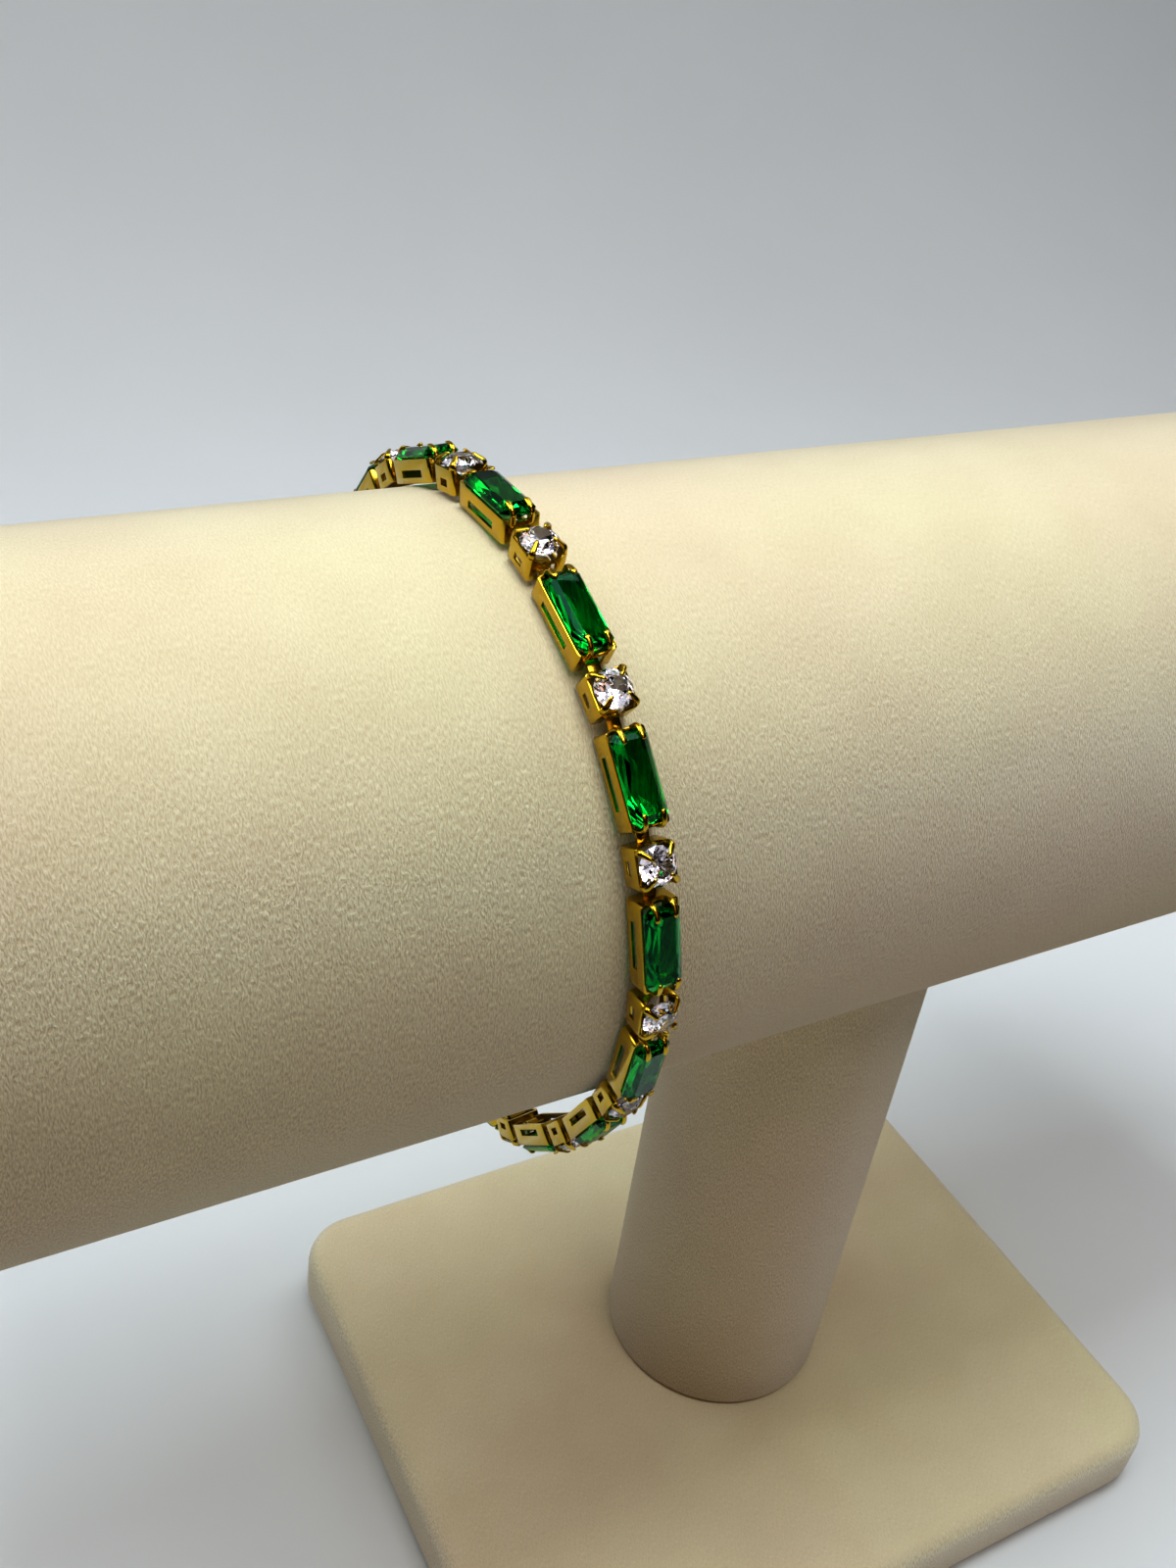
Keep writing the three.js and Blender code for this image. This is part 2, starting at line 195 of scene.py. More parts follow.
class StandLooks(bpy.types.PropertyGroup):
    """Colours of the stand's velvet, and how finely its round arm is divided."""

    light: FloatVectorProperty(
        name="Light pile", description="Colour of the pile that faces the light", subtype="COLOR",
        size=3, min=0, max=1, default=(0.85, 0.84, 0.60),
    )
    blush: FloatVectorProperty(
        name="Leaning pile", description="Colour of the pile where it leans another way", subtype="COLOR",
        size=3, min=0, max=1, default=(0.88, 0.78, 0.63),
    )
    deep: FloatVectorProperty(
        name="Deep pile", description="Colour between the fibres", subtype="COLOR",
        size=3, min=0, max=1, default=(0.53, 0.43, 0.26),
    )
    # painted shade: this tint deepens and warms the pile wherever the surface stands upright or faces down
    painted_underside_shade: FloatVectorProperty(
        name="Underside", description="Tint of the painted shade where the surface faces down or stands upright", subtype="COLOR",
        size=3, min=0, max=1, default=(1.0, 0.88, 0.72),
    )
    sides: IntProperty(
        name="Sides", description="Sides of the round arm", min=48, max=512, default=192,
    )


class GoldLooks(bpy.types.PropertyGroup):
    """Colour, polish and softened edges of the gold."""

    colour: FloatVectorProperty(
        name="Gold", description="Colour of the plating", subtype="COLOR",
        size=3, min=0, max=1, default=(0.60, 0.43, 0.045),
    )
    polish: FloatProperty(
        name="Polish", description="Roughness of the best polished places", subtype="FACTOR",
        min=0, max=1, default=0.12,
    )
    # painted shade: the inside gold is much darker than the outside gold, standing in for the shade inside
    # the boxes; its roughness is the gold's own
    inside: FloatVectorProperty(
        name="Inside", description="Colour of the gold inside the boxes, darkened as painted shade", subtype="COLOR",
        size=3, min=0, max=1, default=(0.2, 0.12, 0.02),
    )
    dullness: FloatProperty(
        name="Dullness", description="Roughness of the gold inside the boxes", subtype="FACTOR",
        min=0, max=1, default=0.4,
    )
    edge: FloatProperty(
        name="Edge", description="Rounding of the boxes' edges, in millimetres", min=0.005, max=0.06,
        default=0.03,
    )


class StoneLooks(bpy.types.PropertyGroup):
    """Colours and bending of light of the two kinds of stone."""

    green: FloatVectorProperty(
        name="Green", description="Colour of the long stones", subtype="COLOR",
        size=3, min=0, max=1, default=(0.001, 0.6, 0.05),
    )
    green_ior: FloatProperty(
        name="Green IOR", description="Refraction of the long stones", min=1, max=3, default=1.6,
    )
    clear_ior: FloatProperty(
        name="Clear IOR", description="Refraction of the round stones", min=1, max=3, default=2.15,
    )


# Helpers for meshes and pieces

def block(bm, size, centre):
    """A box in bm, from its three sizes and its middle."""
    verts = bmesh.ops.create_cube(bm, size=1)["verts"]
    bmesh.ops.scale(bm, vec=size, verts=verts)
    bmesh.ops.translate(bm, vec=centre, verts=verts)


def everything(bm):
    return bm.verts[:] + bm.edges[:] + bm.faces[:]


def cut_across(bm, axis, place):
    """Cuts all faces of bm where they cross a plane, and keeps both sides."""
    normal = Vector((0, 0, 0))
    normal[axis] = 1
    bmesh.ops.bisect_plane(bm, geom=everything(bm), plane_co=normal * place, plane_no=normal)


def put_in_order(bm):
    """Sorts verts, edges and faces by place, because a cut leaves them in another order in each run."""
    for kind in (bm.verts, bm.edges, bm.faces):
        kind.index_update()
        corners = {e.index: sorted(tuple(round(c, 4) for c in v.co) for v in getattr(e, "verts", [e]))
                   for e in kind}
        rank = {index: number for number, index in enumerate(sorted(corners, key=corners.get))}
        kind.sort(key=lambda e: rank[e.index])


def upright_edges(bm):
    return [e for e in bm.edges if abs((e.verts[0].co - e.verts[1].co).normalized().z) > 0.99]


def bevel(bm, edges, offset, segments):
    bmesh.ops.bevel(
        bm, geom=edges, offset=offset, offset_type="OFFSET", segments=segments,
        profile=0.5, affect="EDGES", clamp_overlap=True, material=-1,
    )


def sharp_edges(bm, angle=math.radians(40)):
    return [e for e in bm.edges if len(e.link_faces) == 2 and e.calc_face_angle(0) > angle]


def sweep(bm, stations, sides):
    """A closed bar along stations, each a centre, a tangent, a width along Y and a thickness."""
    rings = []
    for number, (centre, tangent, width, thickness) in enumerate(stations):
        across = Vector((0, 1, 0))
        outward = across.cross(tangent).normalized()
        place = Matrix.Translation(centre) @ Matrix((across, outward, tangent)).transposed().to_4x4()
        place = place @ Matrix.Diagonal((width, thickness, 1, 1))
        cap = number in (0, len(stations) - 1)
        ring = bmesh.ops.create_circle(bm, cap_ends=cap, radius=0.5, segments=sides, matrix=place)["verts"]
        rings.append(list(dict.fromkeys(e for v in ring for e in v.link_edges)))
    for before, after in zip(rings, rings[1:]):
        bmesh.ops.bridge_loops(bm, edges=before + after)


def smooth_path(points, steps):
    """Points on a smooth curve through the given ones, each with its tangent. Extra columns are blended."""
    path = []
    last = len(points) - 1
    for i in range(last):
        p0, p1, p2, p3 = (Vector(points[min(max(j, 0), last)]) for j in (i - 1, i, i + 1, i + 2))
        for step in range(steps + (i == last - 1)):
            t = step / steps
            place = 0.5 * (2 * p1 + (p2 - p0) * t + (2 * p0 - 5 * p1 + 4 * p2 - p3) * t**2
                           + (3 * p1 - p0 - 3 * p2 + p3) * t**3)
            slope = 0.5 * ((p2 - p0) + 2 * (2 * p0 - 5 * p1 + 4 * p2 - p3) * t
                           + 3 * (3 * p1 - p0 - 3 * p2 + p3) * t**2)
            path.append((place, slope))
    return path


def finished_mesh(name, bm, materials, smooth=True):
    """Cleans bm and makes it a mesh with these materials."""
    bmesh.ops.remove_doubles(bm, verts=bm.verts, dist=1e-6)
    bmesh.ops.recalc_face_normals(bm, faces=bm.faces)
    mesh = bpy.data.meshes.new(name)
    bm.to_mesh(mesh)
    bm.free()
    for material in materials:
        mesh.materials.append(material)
    for face in mesh.polygons:
        face.use_smooth = smooth
    if smooth:
        mesh.set_sharp_from_angle(angle=math.radians(32))
    return mesh


def put(name, mesh, slot, *nodes):
    """Makes a piece of mesh, which stands for the named solids and rides on the object's one body."""
    piece = bpy.data.objects.new(name, mesh)
    bpy.context.scene.collection.objects.link(piece)
    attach(piece, BODY)
    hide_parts(*nodes)
    return piece


def put_copy(name, template, place, slot, node):
    """Sets a copy of a template made in millimetres in its place, and tests that against the solid's box."""
    mesh = template.copy()
    mesh.name = name
    mesh.transform(place)
    low, high = (Vector(corner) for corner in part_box(node))
    corners = [v.co for v in mesh.vertices]
    middle = Vector([(min(c[i] for c in corners) + max(c[i] for c in corners)) / 2 for i in range(3)])
    if (middle - (low + high) / 2).length > PLACE_TOLERANCE:
        raise RuntimeError(f"{name} isn't where {node} is: {middle} and {(low + high) / 2}")
    return put(name, mesh, slot, node)


# Materials

class Nodes:
    """A material's or group's node tree, with a short way to add and join nodes."""

    def __init__(self, tree):
        self.tree = tree

    def add(self, kind, inputs=None, **settings):
        made = self.tree.nodes.new(kind)
        for name, value in settings.items():
            setattr(made, name, value)
        for name, value in (inputs or {}).items():
            self.feed(made.inputs[name], value)
        return made

    def feed(self, socket, value):
        if isinstance(value, bpy.types.NodeSocket):
            self.tree.links.new(value, socket)
        else:
            socket.default_value = value


def new_material(name, **values):
    """A material with one Principled shader, whose sockets are set by name. Underscores stand for spaces."""
    material = bpy.data.materials.new(name)
    material.use_nodes = True
    nodes = Nodes(material.node_tree)
    shader = material.node_tree.nodes["Principled BSDF"]
    for socket, value in values.items():
        shader.inputs[socket.replace("_", " ")].default_value = value
    return material, nodes, shader


def uneven_group():
    """A node group: a fine unevenness over the surface, as a value between two limits and as a height."""
    name = "Uneven finish"
    if name in bpy.data.node_groups:
        return bpy.data.node_groups[name]
    group = bpy.data.node_groups.new(name, "ShaderNodeTree")
    for label, default in (("Scale", 500.0), ("Detail", 3.0), ("Lowest", 0.0), ("Highest", 1.0)):
        socket = group.interface.new_socket(label, in_out="INPUT", socket_type="NodeSocketFloat")
        socket.default_value = default
    for label in ("Value", "Height"):
        group.interface.new_socket(label, in_out="OUTPUT", socket_type="NodeSocketFloat")
    nodes = Nodes(group)
    given = nodes.add("NodeGroupInput").outputs
    place = nodes.add("ShaderNodeTexCoord").outputs["Object"]
    noise = nodes.add(
        "ShaderNodeTexNoise", {"Vector": place, "Scale": given["Scale"], "Detail": given["Detail"]},
    )
    spread = nodes.add(
        "ShaderNodeMapRange",
        {"Value": noise.outputs["Fac"], "From Min": 0.3, "From Max": 0.7,
         "To Min": given["Lowest"], "To Max": given["Highest"]},
    )
    nodes.add("NodeGroupOutput", {"Value": spread.outputs["Result"], "Height": noise.outputs["Fac"]})
    return group


def uneven(nodes, scale, lowest=0.0, highest=1.0, detail=3.0):
    """The group's two outputs, for one material's own scale and limits."""
    made = nodes.add("ShaderNodeGroup", node_tree=uneven_group())
    for label, value in (("Scale", scale), ("Detail", detail), ("Lowest", lowest), ("Highest", highest)):
        made.inputs[label].default_value = value
    return made.outputs["Value"], made.outputs["Height"]


def mixed(nodes, factor, first, second, blend="MIX"):
    """A colour between two colours, or the first with the second blended in."""
    mix = nodes.add("ShaderNodeMix", data_type="RGBA", blend_type=blend)
    nodes.feed(mix.inputs[0], factor)
    nodes.feed(mix.inputs[6], first)
    nodes.feed(mix.inputs[7], second)
    return mix.outputs[2]


def velvet_material(looks):
    """Cream pile: fine light and dark fibres, soft patches where it lies another way, and a pale sheen.

    Where the surface stands upright or faces down, its colour is painted deeper and warmer, as painted
    shade, and the painted shade between its fibres is stronger.
    """
    material, nodes, shader = new_material(
        "cream velvet", Roughness=0.95, Sheen_Weight=0.75, Sheen_Roughness=0.5,
        Sheen_Tint=(0.97, 0.98, 1.0, 1), Specular_IOR_Level=0.15,
    )
    fibres = drawn_noise(nodes, PILE_LENGTH, PILE_WIDTH, PILE_WAVER)
    patches, _ = uneven(nodes, 130, detail=4.0)
    wide, _ = uneven(nodes, 28, detail=2.0)
    normal = nodes.add("ShaderNodeTexCoord").outputs["Normal"]
    upward = nodes.add("ShaderNodeSeparateXYZ", {"Vector": normal}).outputs["Z"]
    straight = spread_out(nodes, upward, *PILE_FADE)
    # painted shade between the fibres: the fibres' light and dark colour spreads wider where the surface
    # stands upright or faces down, and narrows where it faces up
    painted_fibre_shade = times_plus(nodes, straight, -0.6, 0.85)
    centred = times_plus(nodes, spread_out(nodes, fibres, 0.3, 0.7), 1, -0.5)
    speck = times_plus(nodes, centred, painted_fibre_shade, 0.4)
    patch = times_plus(nodes, patches, 0.1, speck)
    blend = times_plus(nodes, wide, 0.1, patch)
    light = mixed(nodes, wide, (*looks.blush, 1), (*looks.light, 1))
    upper = mixed(nodes, blend, (*looks.deep, 1), light)
    # painted shade: the colour times the tint, used where the surface stands upright or faces down
    painted_shade_colour = mixed(nodes, 1, upper, (*looks.painted_underside_shade, 1), "MULTIPLY")
    painted_shade_mask = spread_out(nodes, upward, *PAINTED_SHADE_FADE)
    nodes.feed(shader.inputs["Base Color"], mixed(nodes, painted_shade_mask, painted_shade_colour, upper))
    depth = times_plus(nodes, straight, -0.5, 0.7)
    bump = nodes.add("ShaderNodeBump", {"Height": fibres, "Strength": depth, "Distance": 0.00025})
    nodes.feed(shader.inputs["Normal"], bump.outputs["Normal"])
    return material


def spread_out(nodes, value, low, high):
    """A value from 0 to 1, for what lies between low and high."""
    made = nodes.add("ShaderNodeMapRange", {"Value": value, "From Min": low, "From Max": high})
    return made.outputs["Result"]


def times_plus(nodes, value, factor, term):
    """A value times a factor, plus a term."""
    made = nodes.add("ShaderNodeMath", {0: value, 1: factor, 2: term}, operation="MULTIPLY_ADD")
    return made.outputs["Value"]


def drawn_noise(nodes, length, width, waver, slant=0.0):
    """Noise drawn out one way, which wavers a little, from the piece's own map in millimetres."""
    surface = nodes.add("ShaderNodeUVMap", uv_map=PILE_MAP).outputs["UV"]
    place = nodes.add("ShaderNodeTexCoord").outputs["Object"]
    sway = nodes.add("ShaderNodeTexNoise", {"Vector": place, "Scale": 350.0, "Detail": 2.0}).outputs["Color"]
    reach = (waver, waver, 0)
    bent = nodes.add("ShaderNodeVectorMath", {0: sway, 1: reach, 2: surface}, operation="MULTIPLY_ADD")
    turned = nodes.add("ShaderNodeMapping", {"Vector": bent.outputs["Vector"], "Rotation": (0, 0, slant)})
    drawn = nodes.add("ShaderNodeMapping", {"Vector": turned.outputs["Vector"]})
    drawn.inputs["Scale"].default_value = (1 / length, 1 / width, 1)
    noise = nodes.add(
        "ShaderNodeTexNoise", {"Vector": drawn.outputs["Vector"], "Scale": 1.0, "Detail": 3.0},
        noise_dimensions="2D",
    )
    return noise.outputs["Fac"]


def gold_material(name, colour, polish):
    """Yellow gold: a little waviness in its reflections, and a thin haze of fine scratches."""
    material, nodes, shader = new_material(name, Metallic=1.0)
    rough, height = uneven(nodes, 900, polish, polish + 0.16)
    tone, _ = uneven(nodes, 350)
    deep = tuple(c * f for c, f in zip(colour, (0.9, 0.82, 0.6)))
    nodes.feed(shader.inputs["Roughness"], rough)
    nodes.feed(shader.inputs["Base Color"], mixed(nodes, tone, (*deep, 1), (*colour, 1)))
    bump = nodes.add("ShaderNodeBump", {"Height": height, "Strength": 0.25, "Distance": 0.00006})
    nodes.feed(shader.inputs["Normal"], bump.outputs["Normal"])
    return material


def green_material(looks):
    """Deep green stone, lighter along some slanting streaks."""
    material, nodes, shader = new_material(
        "green stone", Transmission_Weight=1.0, IOR=looks.green_ior, Specular_Tint=(0.1, 0.5, 0.35, 1),
    )
    rough, _ = uneven(nodes, 700, 0.0, 0.05)
    drawn = drawn_noise(nodes, STREAK_LENGTH, STREAK_WIDTH, STREAK_WAVER, STREAK_SLANT)
    streaks = spread_out(nodes, drawn, 0.35, 0.65)
    deep = tuple(c * f for c, f in zip(looks.green, (0.3, 0.35, 0.4)))
    nodes.feed(shader.inputs["Roughness"], rough)
    nodes.feed(shader.inputs["Base Color"], mixed(nodes, streaks, (*deep, 1), (*looks.green, 1)))
    return material


def clear_material(looks):
    """Colourless stone, with faint lilac and blue fire painted into its colour in patches."""
    material, nodes, shader = new_material("clear stone", Transmission_Weight=1.0, IOR=looks.clear_ior)
    rough, _ = uneven(nodes, 700, 0.0, 0.04)
    # painted fire: patches of lilac tint stand in for the stone's coloured sparkle of light
    painted_fire, _ = uneven(nodes, 1500, detail=1.0)
    nodes.feed(shader.inputs["Roughness"], rough)
    nodes.feed(shader.inputs["Base Color"], mixed(nodes, painted_fire, (0.86, 0.8, 1.0, 1), (1.0, 1.0, 0.98, 1)))
    return material


def floor_material():
    """White sheet with a trace of blue and hardly any gloss."""
    material, nodes, shader = new_material("white floor", Specular_IOR_Level=0.2)
    rough, _ = uneven(nodes, 60, 0.65, 0.8)
    tone, _ = uneven(nodes, 9)
    nodes.feed(shader.inputs["Roughness"], rough)
    nodes.feed(shader.inputs["Base Color"], mixed(nodes, tone, (0.67, 0.70, 0.73, 1), (0.69, 0.72, 0.75, 1)))
    return material


# The stand

def lay_pile(bm, place):
    """Maps each face in millimetres, from the metres that place gives along the pile and across it."""
    layer = bm.loops.layers.uv.new(PILE_MAP)
    bm.normal_update()
    for face in bm.faces:
        middle = face.calc_center_median()
        for loop in face.loops:
            along, across = place(loop.vert.co, middle, face.normal)
            loop[layer].uv = (along / MM, across / MM)


def around(axis_u, axis_v, radius):
    """A function for the way round a cylinder, from a point's two coordinates across its axis."""

    def way(u, v, middle_u, middle_v):
        middle = math.atan2(middle_v - axis_v, middle_u - axis_u)
        angle = math.atan2(v - axis_v, u - axis_u)
        return radius * (middle + math.remainder(angle - middle, 2 * math.pi))

    return way


def base_mesh(material):
    """The flat plate, with round corners and softly rounded edges."""
    low, high = (Vector(corner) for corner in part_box("stand_base"))
    bm = bmesh.new()
    block(bm, high - low, (low + high) / 2)
    bevel(bm, upright_edges(bm), BASE_CORNER, 10)
    rims = [e for e in sharp_edges(bm) if e.verts[0].co.z == e.verts[1].co.z]
    bevel(bm, rims, BASE_EDGE, 6)

    def place(co, _, normal):
        if abs(normal.z) > 0.7:
            return co.y, co.x
        return (co.z, co.x) if abs(normal.y) > 0.7 else (co.z, co.y)

    lay_pile(bm, place)
    return finished_mesh("velvet_base", bm, [material])


def post_mesh(material, sides):
    """The round upright, its top hollowed to lie against the arm."""
    low, high = (Vector(corner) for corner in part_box("stand_post"))
    arm_low, arm_high = (Vector(corner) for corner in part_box("stand_arm"))
    axis = (arm_low + arm_high) / 2
    saddle = (arm_high.z - arm_low.z) / 2 + SADDLE_GAP
    radius = (high.x - low.x) / 2
    bm = bmesh.new()
    middle = Vector(((low.x + high.x) / 2, (low.y + high.y) / 2, (low.z + axis.z) / 2))
    bmesh.ops.create_cone(
        bm, cap_ends=False, segments=sides, radius1=radius, radius2=radius,
        depth=axis.z - low.z, matrix=Matrix.Translation(middle),
    )
    top = [v for v in bm.verts if v.co.z > middle.z]
    for vert in top:
        vert.co.z = axis.z - math.sqrt(saddle**2 - (vert.co.y - axis.y) ** 2)
    rims = [e for e in bm.edges if e.is_boundary]
    foot = [e for e in rims if max(v.co.z for v in e.verts) < middle.z]
    crown = [e for e in rims if e not in foot]
    for rim in (foot, crown):
        bmesh.ops.holes_fill(bm, edges=rim, sides=0)
    bevel(bm, foot, POST_EDGE, 4)
    way = around(middle.x, middle.y, radius)
    lay_pile(bm, lambda co, face, normal: (co.z, way(co.x, co.y, face.x, face.y)))
    return finished_mesh("velvet_post", bm, [material])


def arm_mesh(material, sides):
    """The round arm, with rounded ends."""
    low, high = (Vector(corner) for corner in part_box("stand_arm"))
    radius = (high.z - low.z) / 2
    turned = Matrix.Translation((low + high) / 2) @ Matrix.Rotation(math.pi / 2, 4, "Y")
    bm = bmesh.new()
    bmesh.ops.create_cone(
        bm, cap_ends=True, cap_tris=False, segments=sides, radius1=radius, radius2=radius,
        depth=high.x - low.x, matrix=turned,
    )
    bevel(bm, sharp_edges(bm, math.radians(60)), ARM_EDGE, 6)
    middle = (low + high) / 2
    way = around(middle.y, middle.z, radius)

    def place(co, face, normal):
        return (co.z, co.y) if abs(normal.x) > 0.7 else (way(co.y, co.z, face.y, face.z), co.x)

    lay_pile(bm, place)
    return finished_mesh("velvet_arm", bm, [material])


# The gold boxes

def box_walls(length, window, dip, edge):
    """Four walls with cut corners, a window in each long side, a way in at -X and dips in the end walls.

    Their inner faces take the second material, a rougher gold whose darker colour is painted shade.
    """
    bm = bmesh.new()
    block(bm, (length, LINK_WIDTH, WALL_HEIGHT), (0, 0, WALL_HEIGHT / 2))
    open_faces = [f for f in bm.faces if abs(f.normal.z) > 0.9]
    bmesh.ops.delete(bm, geom=open_faces, context="FACES_ONLY")
    bevel(bm, upright_edges(bm), CORNER_CUT, 3)
    entry = TAB_WIDTH / 2 + ENTRY_CLEARANCE
    entry_top = PIN_HEIGHT + EYE_RADIUS + ENTRY_CLEARANCE
    half = LINK_WIDTH / 2 - CORNER_CUT
    for place in (-window / 2, window / 2):
        cut_across(bm, 0, place)
    for place in [-entry, entry] + [half * (2 * step / DIP_STEPS - 1) for step in range(1, DIP_STEPS)]:
        cut_across(bm, 1, place)
    for place in (WINDOW_LOW, WINDOW_LOW + WINDOW_HEIGHT, entry_top):
        cut_across(bm, 2, place)
    cut_away = []
    for face in bm.faces:
        middle = face.calc_center_median()
        in_window = abs(middle.x) < window / 2 and WINDOW_LOW < middle.z < WINDOW_LOW + WINDOW_HEIGHT
        in_entry = middle.x < 0.01 - length / 2 and abs(middle.y) < entry and middle.z < entry_top
        if in_window or in_entry:
            cut_away.append(face)
    bmesh.ops.delete(bm, geom=cut_away, context="FACES")
    for vert in bm.verts:
        on_end = abs(vert.co.x) > length / 2 - 0.01 and abs(vert.co.y) < half
        if on_end and vert.co.z > WALL_HEIGHT - 0.01:
            vert.co.z -= dip * (1 - (abs(vert.co.y) / half) ** 1.6)
    bmesh.ops.recalc_face_normals(bm, faces=bm.faces)
    bmesh.ops.solidify(bm, geom=bm.faces[:], thickness=WALL)
    put_in_order(bm)
    bmesh.ops.dissolve_limit(bm, angle_limit=math.radians(1), verts=bm.verts, edges=bm.edges)
    bevel(bm, sharp_edges(bm), edge, 2)
    # painted shade: the inner faces take the darker gold
    for face in bm.faces:
        middle = face.calc_center_median()
        inward = min(length / 2 - abs(middle.x), LINK_WIDTH / 2 - abs(middle.y))
        if inward > WALL - edge / 2 and abs(face.normal.z) < 0.5:
            face.material_index = 1
    return bm


def add_hinge(bm, length, edge):
    """The tab with its eye at +X, and the pin that holds the eye before it at -X."""
    centre = length / 2 + LINK_GAP + PIN_INSET
    root = length / 2 - WALL / 2
    reach = centre - EYE_RADIUS + EYE_WALL / 2
    tab = bmesh.new()
    block(tab, (reach - root, TAB_WIDTH, TAB_THICKNESS), ((reach + root) / 2, 0, PIN_HEIGHT))
    bevel(tab, tab.edges[:], edge * 2, 2)
    across = Matrix.Rotation(math.pi / 2, 4, "X")
    ring = bmesh.new()
    bmesh.ops.create_cone(
        ring, cap_ends=False, segments=20, radius1=EYE_RADIUS, radius2=EYE_RADIUS, depth=TAB_WIDTH,
        matrix=Matrix.Translation((centre, 0, PIN_HEIGHT)) @ across,
    )
    bmesh.ops.recalc_face_normals(ring, faces=ring.faces)
    bmesh.ops.solidify(ring, geom=ring.faces[:], thickness=EYE_WALL)
    bevel(ring, sharp_edges(ring, math.radians(60)), edge, 1)
    pin = bmesh.new()
    bmesh.ops.create_cone(
        pin, cap_ends=True, segments=12, radius1=PIN_RADIUS, radius2=PIN_RADIUS, depth=LINK_WIDTH - WALL,
        matrix=Matrix.Translation((PIN_INSET - length / 2, 0, PIN_HEIGHT)) @ across,
    )
    for piece in (tab, ring, pin):
        join(bm, piece)


def join(bm, other, place=None):
    """Adds another bmesh to bm, at a place, and frees it."""
    mesh = bpy.data.meshes.new("joined")
    bmesh.ops.recalc_face_normals(other, faces=other.faces)
    other.to_mesh(mesh)
    other.free()
    if place:
        mesh.transform(place)
    bm.from_mesh(mesh)
    bpy.data.meshes.remove(mesh)


def prong(path):
    """A bent prong: a bar along path, whose rows are x, z, width and thickness, with rounded ends."""
    stations = []
    for row, slope in smooth_path(path, PRONG_STEPS):
        centre = Vector((row[0], 0, row[1]))
        stations.append((centre, Vector((slope[0], 0, slope[1])).normalized(), row[2], row[3]))
    bm = bmesh.new()
    sweep(bm, stations, PRONG_SIDES)
    return bm


def long_prong():
    """The prong at the +X end of a long box, from its wall over the stone's end to the table."""
    face = GREEN_LENGTH / 2
    table_edge = GREEN_STONE_LENGTH / 2 - GREEN_CROWN[-1][0]
    table = GIRDLE_TOP + GREEN_CROWN[-1][1]
    return prong([
        (face - 0.08, WALL_HEIGHT - 0.75, 0.3, 0.1),
        (face, WALL_HEIGHT - 0.45, 0.46, 0.24),
        (face + 0.04, WALL_HEIGHT, 0.5, 0.26),
        (face + 0.06, GIRDLE_TOP + 0.08, 0.46, 0.26),
        (face - 0.24, table - 0.16, 0.42, 0.25),
        (table_edge + 0.2, table + 0.05, 0.46, 0.23),
        (table_edge + 0.02, table + 0.09, 0.44, 0.2),
        (table_edge - 0.12, table + 0.08, 0.32, 0.16),
        (table_edge - 0.18, table + 0.06, 0.1, 0.06),
    ])


def corner_claw():
    """The claw on a round cup's corner, along the diagonal: broad at its foot and pointed over the stone."""
    foot = (LINK_WIDTH / 2 - CORNER_CUT / 2) * math.sqrt(2)
    table = GIRDLE_TOP + ROUND_CROWN
    return prong([
        (foot - 0.16, WALL_HEIGHT - 0.5, 0.4, 0.16),
        (foot - 0.14, WALL_HEIGHT - 0.1, 0.62, 0.28),
        (foot - 0.1, GIRDLE_LOW, 0.6, 0.3),
        (foot - 0.22, GIRDLE_TOP + 0.16, 0.5, 0.3),
        (ROUND_RADIUS - 0.12, table - 0.1, 0.42, 0.26),
        (ROUND_RADIUS - 0.42, table + 0.07, 0.32, 0.22),
        (ROUND_RADIUS - 0.62, table + 0.09, 0.2, 0.14),
        (ROUND_RADIUS - 0.7, table + 0.07, 0.06, 0.05),
    ])


def long_box(materials, edge):
    """The box under a green stone: walls, four prongs and its hinge."""
    bm = box_walls(GREEN_LENGTH, GREEN_WINDOW, LONG_DIP, edge)
    for turn in (0, math.pi):
        for side in (-PRONG_SPREAD, PRONG_SPREAD):
            place = Matrix.Rotation(turn, 4, "Z") @ Matrix.Translation((0, side, 0))
            join(bm, long_prong(), place)
    add_hinge(bm, GREEN_LENGTH, edge)
    return finished_mesh("long_box", bm, materials)


def round_cup(gold, inside, clear, edge):
    """The cup under a round stone, its four claws, its hinge and the stone itself, as one mesh."""
    bm = box_walls(ROUND_LENGTH, ROUND_WINDOW, CREST_DIP, edge)
    for quarter in range(4):
        join(bm, corner_claw(), Matrix.Rotation(math.pi / 4 + quarter * math.pi / 2, 4, "Z"))
    add_hinge(bm, ROUND_LENGTH, edge)
    gold_faces = len(bm.faces)
    join(bm, brilliant())
    bm.faces.ensure_lookup_table()
    for face in bm.faces[gold_faces:]:
        face.material_index = 2
    mesh = finished_mesh("round_cup", bm, [gold, inside, clear])
    for face in mesh.polygons:
        face.use_smooth = face.material_index < 2
    return mesh


